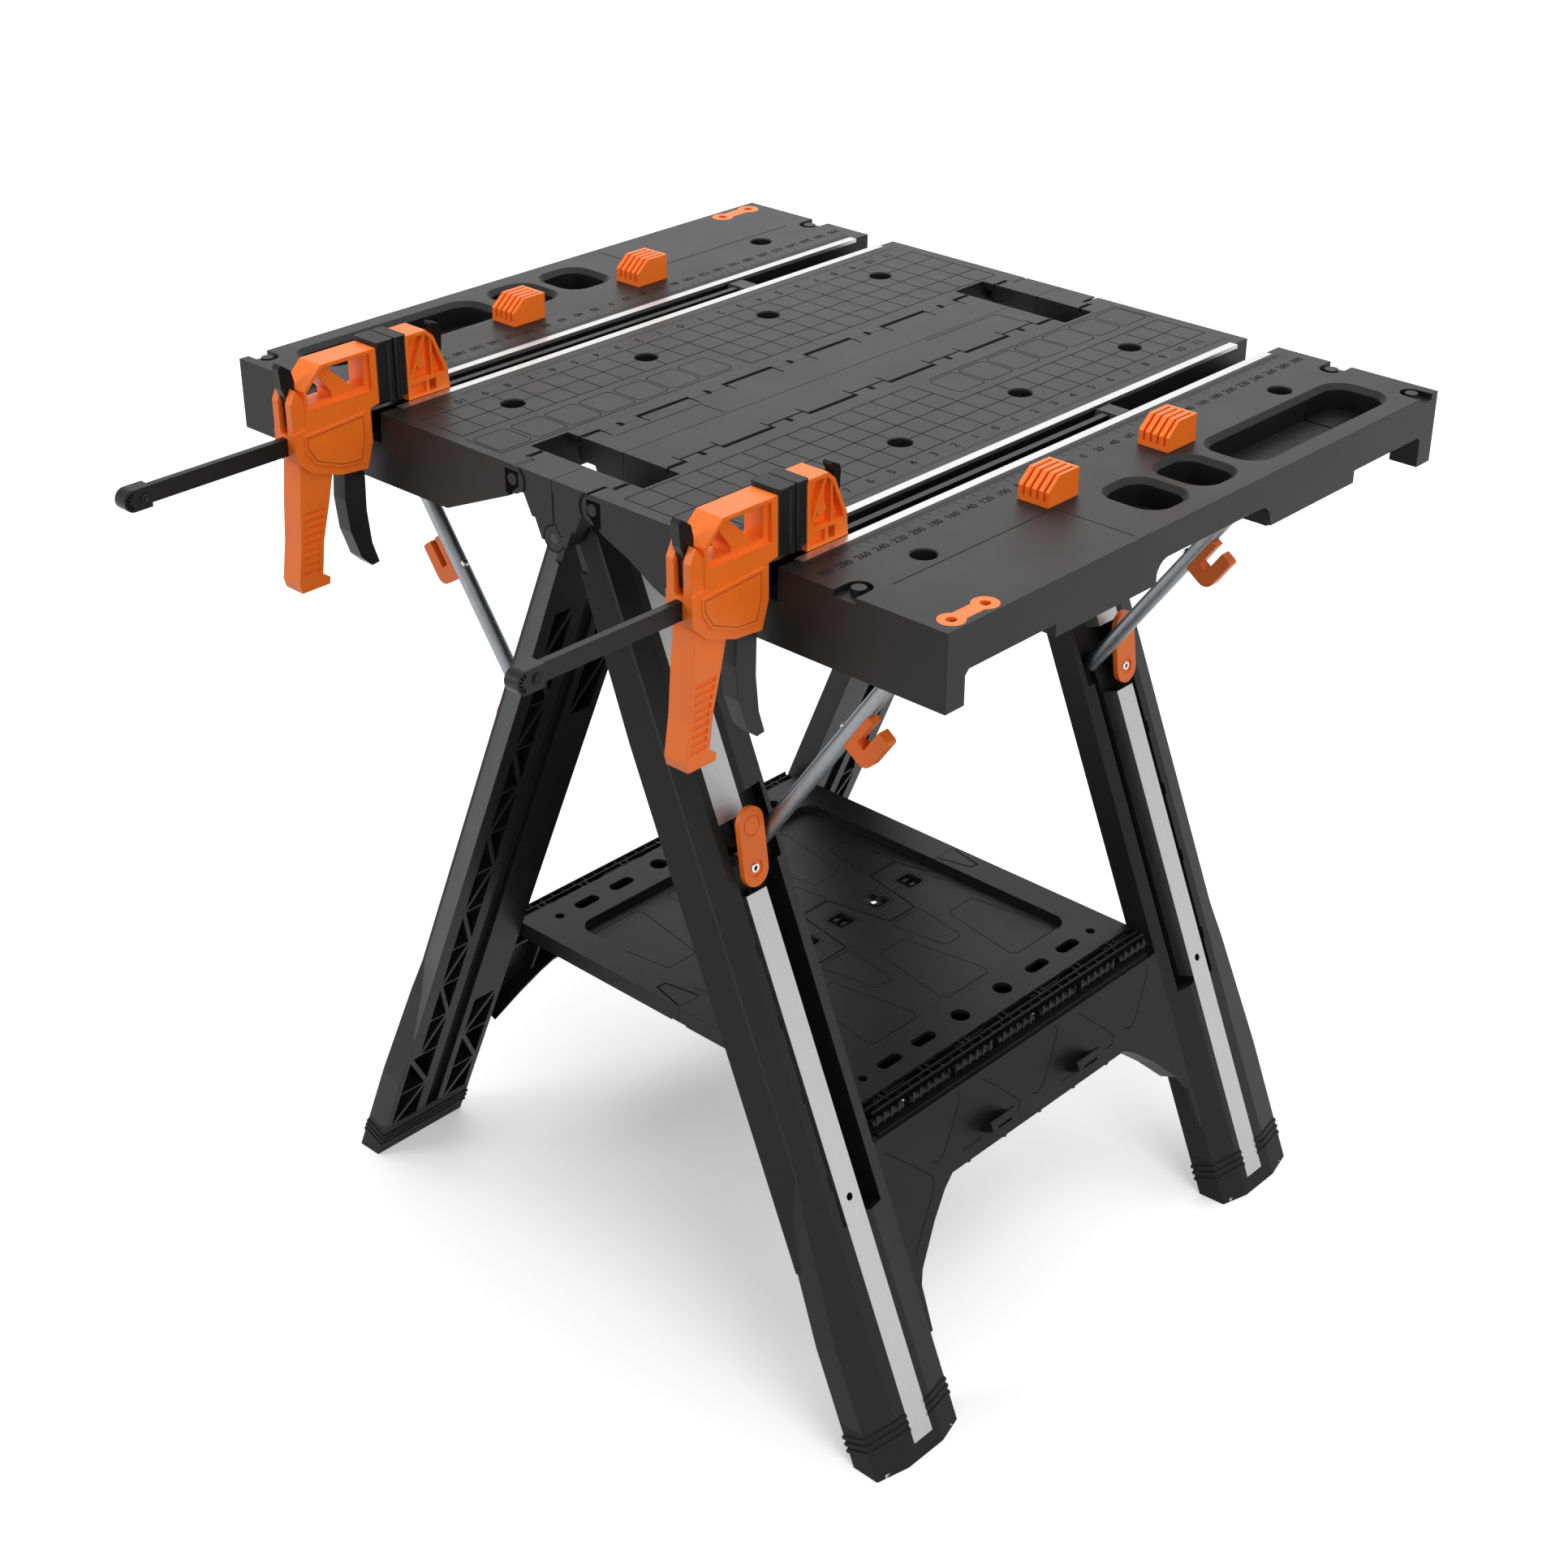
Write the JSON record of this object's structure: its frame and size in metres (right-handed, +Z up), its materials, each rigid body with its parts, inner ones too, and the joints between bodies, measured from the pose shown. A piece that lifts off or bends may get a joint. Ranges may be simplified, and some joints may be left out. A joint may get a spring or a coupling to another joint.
{
  "type": "folding workbench",
  "caption": "Folding workbench with hinged table wings on splayed legs, clamp channels, bar clamps, bench dogs, braces and a folding tray.",
  "frame": {"origin": "on the floor, below the middle of the table top", "axes": "+X across the wings to the right, +Y along the clamp channels away from the clamp grips, +Z up"},
  "size_m": [0.7874, 0.8743, 0.8725],
  "materials": {
    "black_plastic": "moulded, fine grain",
    "foot_plastic": "moulded, fine grain",
    "steel_strip": "zinc plated",
    "pin_steel": "zinc plated",
    "aluminium_rail": "anodised",
    "strut_steel": "galvanised",
    "orange_plastic": "moulded",
    "clamp_black": "moulded",
    "bar_steel": "blackened",
    "pad_rubber": "soft"
  },
  "bodies": {
    "left_frame": {"left_frame": "black_plastic", "left_spine": "black_plastic", "channel_left_front": "steel_strip", "channel_left_back": "steel_strip", "foot_left_front": "foot_plastic", "foot_left_back": "foot_plastic", "apex_bolts": "pin_steel", "left_hinge_rod": "pin_steel", "tray_rod": "pin_steel"},
    "right_frame": {"right_frame": "black_plastic", "right_spine": "black_plastic", "channel_right_front": "steel_strip", "channel_right_back": "steel_strip", "foot_right_front": "foot_plastic", "foot_right_back": "foot_plastic", "right_hinge_rod": "pin_steel"},
    "left_wing": {"left_wing": "black_plastic", "left_rails": "aluminium_rail"},
    "right_wing": {"right_wing": "black_plastic", "right_rails": "aluminium_rail"},
    "tray_left": {"tray_left": "black_plastic"},
    "tray_right": {"tray_right": "black_plastic"},
    "strut_left_front": {"strut_left_front": "strut_steel", "hook_left_front": "orange_plastic"},
    "lever_left_front": {"lever_left_front": "orange_plastic"},
    "strut_left_back": {"strut_left_back": "strut_steel", "hook_left_back": "orange_plastic"},
    "lever_left_back": {"lever_left_back": "orange_plastic"},
    "strut_right_front": {"strut_right_front": "strut_steel", "hook_right_front": "orange_plastic"},
    "lever_right_front": {"lever_right_front": "orange_plastic"},
    "strut_right_back": {"strut_right_back": "strut_steel", "hook_right_back": "orange_plastic"},
    "lever_right_back": {"lever_right_back": "orange_plastic"},
    "bar_left": {"bar_left": "bar_steel", "bar_stop_left": "clamp_black", "bar_block_left": "clamp_black"},
    "grip_left": {"grip_left": "orange_plastic", "pad_left": "pad_rubber"},
    "trigger_left": {"trigger_left": "clamp_black"},
    "release_left": {"release_left": "clamp_black"},
    "jaw_left": {"jaw_left": "orange_plastic", "jaw_pad_left": "pad_rubber"},
    "jaw_lock_left": {"jaw_lock_left": "clamp_black"},
    "dog_left_front": {"dog_left_front": "orange_plastic"},
    "dog_left_back": {"dog_left_back": "orange_plastic"},
    "link_left": {"link_left": "orange_plastic"},
    "bar_right": {"bar_right": "bar_steel", "bar_stop_right": "clamp_black", "bar_block_right": "clamp_black"},
    "grip_right": {"grip_right": "orange_plastic", "pad_right": "pad_rubber"},
    "trigger_right": {"trigger_right": "clamp_black"},
    "release_right": {"release_right": "clamp_black"},
    "jaw_right": {"jaw_right": "orange_plastic", "jaw_pad_right": "pad_rubber"},
    "jaw_lock_right": {"jaw_lock_right": "clamp_black"},
    "dog_right_front": {"dog_right_front": "orange_plastic"},
    "dog_right_back": {"dog_right_back": "orange_plastic"},
    "link_right": {"link_right": "orange_plastic"}
  },
  "joints": [
    {"name": "leg_fold", "type": "hinge", "parent": "left_frame", "child": "right_frame", "pos_m": [0, 0, 0.764], "axis": [0, 1, 0], "range_deg": [0, 42.4]},
    {"name": "right_wing_fold", "type": "hinge", "parent": "right_frame", "child": "right_wing", "pos_m": [0.045, 0, 0.801], "axis": [0, 1, 0], "range_deg": [0, 65]},
    {"name": "left_wing_fold", "type": "hinge", "parent": "left_frame", "child": "left_wing", "pos_m": [-0.045, 0, 0.801], "axis": [0, 1, 0], "range_deg": [-65, 0]},
    {"name": "tray_left_fold", "type": "hinge", "parent": "left_frame", "child": "tray_left", "pos_m": [-0.229, 0, 0.2545], "axis": [0, 1, 0], "range_deg": [-63, 0]},
    {"name": "tray_right_fold", "type": "hinge", "parent": "tray_left", "child": "tray_right", "pos_m": [0, 0, 0.2505], "axis": [0, 1, 0], "range_deg": [0, 168]},
    {"name": "strut_left_front_swing", "type": "hinge", "parent": "left_wing", "child": "strut_left_front", "pos_m": [-0.314, -0.226, 0.764], "axis": [0, 1, 0], "range_deg": [0, 121.5]},
    {"name": "lever_left_front_press", "type": "hinge", "parent": "left_frame", "child": "lever_left_front", "pos_m": [-0.139, -0.25, 0.508], "axis": [0, 1, 0], "range_deg": [0, 14], "stiffness_Nm_per_rad": 0.6},
    {"name": "strut_left_back_swing", "type": "hinge", "parent": "left_wing", "child": "strut_left_back", "pos_m": [-0.314, 0.226, 0.764], "axis": [0, 1, 0], "range_deg": [0, 121.5]},
    {"name": "lever_left_back_press", "type": "hinge", "parent": "left_frame", "child": "lever_left_back", "pos_m": [-0.139, 0.25, 0.508], "axis": [0, 1, 0], "range_deg": [0, 14], "stiffness_Nm_per_rad": 0.6},
    {"name": "strut_right_front_swing", "type": "hinge", "parent": "right_wing", "child": "strut_right_front", "pos_m": [0.314, -0.226, 0.764], "axis": [0, 1, 0], "range_deg": [-121.5, 0]},
    {"name": "lever_right_front_press", "type": "hinge", "parent": "right_frame", "child": "lever_right_front", "pos_m": [0.139, -0.25, 0.508], "axis": [0, -1, 0], "range_deg": [0, 14], "stiffness_Nm_per_rad": 0.6},
    {"name": "strut_right_back_swing", "type": "hinge", "parent": "right_wing", "child": "strut_right_back", "pos_m": [0.314, 0.226, 0.764], "axis": [0, 1, 0], "range_deg": [-121.5, 0]},
    {"name": "lever_right_back_press", "type": "hinge", "parent": "right_frame", "child": "lever_right_back", "pos_m": [0.139, 0.25, 0.508], "axis": [0, -1, 0], "range_deg": [0, 14], "stiffness_Nm_per_rad": 0.6},
    {"name": "bar_left_slide", "type": "slide", "parent": "left_wing", "child": "bar_left", "axis": [0, 1, 0], "range_m": [-0.1, 0.005]},
    {"name": "grip_left_slide", "type": "slide", "parent": "bar_left", "child": "grip_left", "axis": [0, 1, 0], "range_m": [-0.12, 0]},
    {"name": "jaw_left_slide", "type": "slide", "parent": "bar_left", "child": "jaw_left", "axis": [0, 1, 0], "range_m": [0, 0.3]},
    {"name": "trigger_left_pull", "type": "hinge", "parent": "grip_left", "child": "trigger_left", "pos_m": [-0.2215, -0.346, 0.784], "axis": [-1, 0, 0], "range_deg": [0, 12], "stiffness_Nm_per_rad": 0.5},
    {"name": "release_left_tilt", "type": "hinge", "parent": "grip_left", "child": "release_left", "pos_m": [-0.2215, -0.393, 0.826], "axis": [1, 0, 0], "range_deg": [0, 11], "stiffness_Nm_per_rad": 0.15},
    {"name": "jaw_lock_left_tilt", "type": "hinge", "parent": "jaw_left", "child": "jaw_lock_left", "pos_m": [-0.2215, -0.247, 0.822], "axis": [-1, 0, 0], "range_deg": [0, 15], "stiffness_Nm_per_rad": 0.15},
    {"name": "dog_left_front_lift", "type": "slide", "parent": "left_wing", "child": "dog_left_front", "axis": [0, 0, 1], "range_m": [0, 0.03]},
    {"name": "dog_left_back_lift", "type": "slide", "parent": "left_wing", "child": "dog_left_back", "axis": [0, 0, 1], "range_m": [0, 0.03]},
    {"name": "link_left_lift", "type": "slide", "parent": "left_wing", "child": "link_left", "axis": [0, 0, 1], "range_m": [0, 0.012]},
    {"name": "bar_right_slide", "type": "slide", "parent": "right_wing", "child": "bar_right", "axis": [0, 1, 0], "range_m": [-0.1, 0.005]},
    {"name": "grip_right_slide", "type": "slide", "parent": "bar_right", "child": "grip_right", "axis": [0, 1, 0], "range_m": [-0.12, 0]},
    {"name": "jaw_right_slide", "type": "slide", "parent": "bar_right", "child": "jaw_right", "axis": [0, 1, 0], "range_m": [0, 0.3]},
    {"name": "trigger_right_pull", "type": "hinge", "parent": "grip_right", "child": "trigger_right", "pos_m": [0.2215, -0.346, 0.784], "axis": [-1, 0, 0], "range_deg": [0, 12], "stiffness_Nm_per_rad": 0.5},
    {"name": "release_right_tilt", "type": "hinge", "parent": "grip_right", "child": "release_right", "pos_m": [0.2215, -0.393, 0.826], "axis": [1, 0, 0], "range_deg": [0, 11], "stiffness_Nm_per_rad": 0.15},
    {"name": "jaw_lock_right_tilt", "type": "hinge", "parent": "jaw_right", "child": "jaw_lock_right", "pos_m": [0.2215, -0.247, 0.822], "axis": [-1, 0, 0], "range_deg": [0, 15], "stiffness_Nm_per_rad": 0.15},
    {"name": "dog_right_front_lift", "type": "slide", "parent": "right_wing", "child": "dog_right_front", "axis": [0, 0, 1], "range_m": [0, 0.03]},
    {"name": "dog_right_back_lift", "type": "slide", "parent": "right_wing", "child": "dog_right_back", "axis": [0, 0, 1], "range_m": [0, 0.03]},
    {"name": "link_right_lift", "type": "slide", "parent": "right_wing", "child": "link_right", "axis": [0, 0, 1], "range_m": [0, 0.012]}
  ],
  "couplings": [
    {"joint": "tray_left_fold", "follows": "leg_fold", "ratio": -1.4732},
    {"joint": "tray_right_fold", "follows": "leg_fold", "ratio": 3.9463},
    {"joint": "strut_left_front_swing", "follows": "left_wing_fold", "ratio": -1.8677},
    {"joint": "strut_left_back_swing", "follows": "left_wing_fold", "ratio": -1.8677},
    {"joint": "strut_right_front_swing", "follows": "right_wing_fold", "ratio": -1.8677},
    {"joint": "strut_right_back_swing", "follows": "right_wing_fold", "ratio": -1.8677}
  ]
}
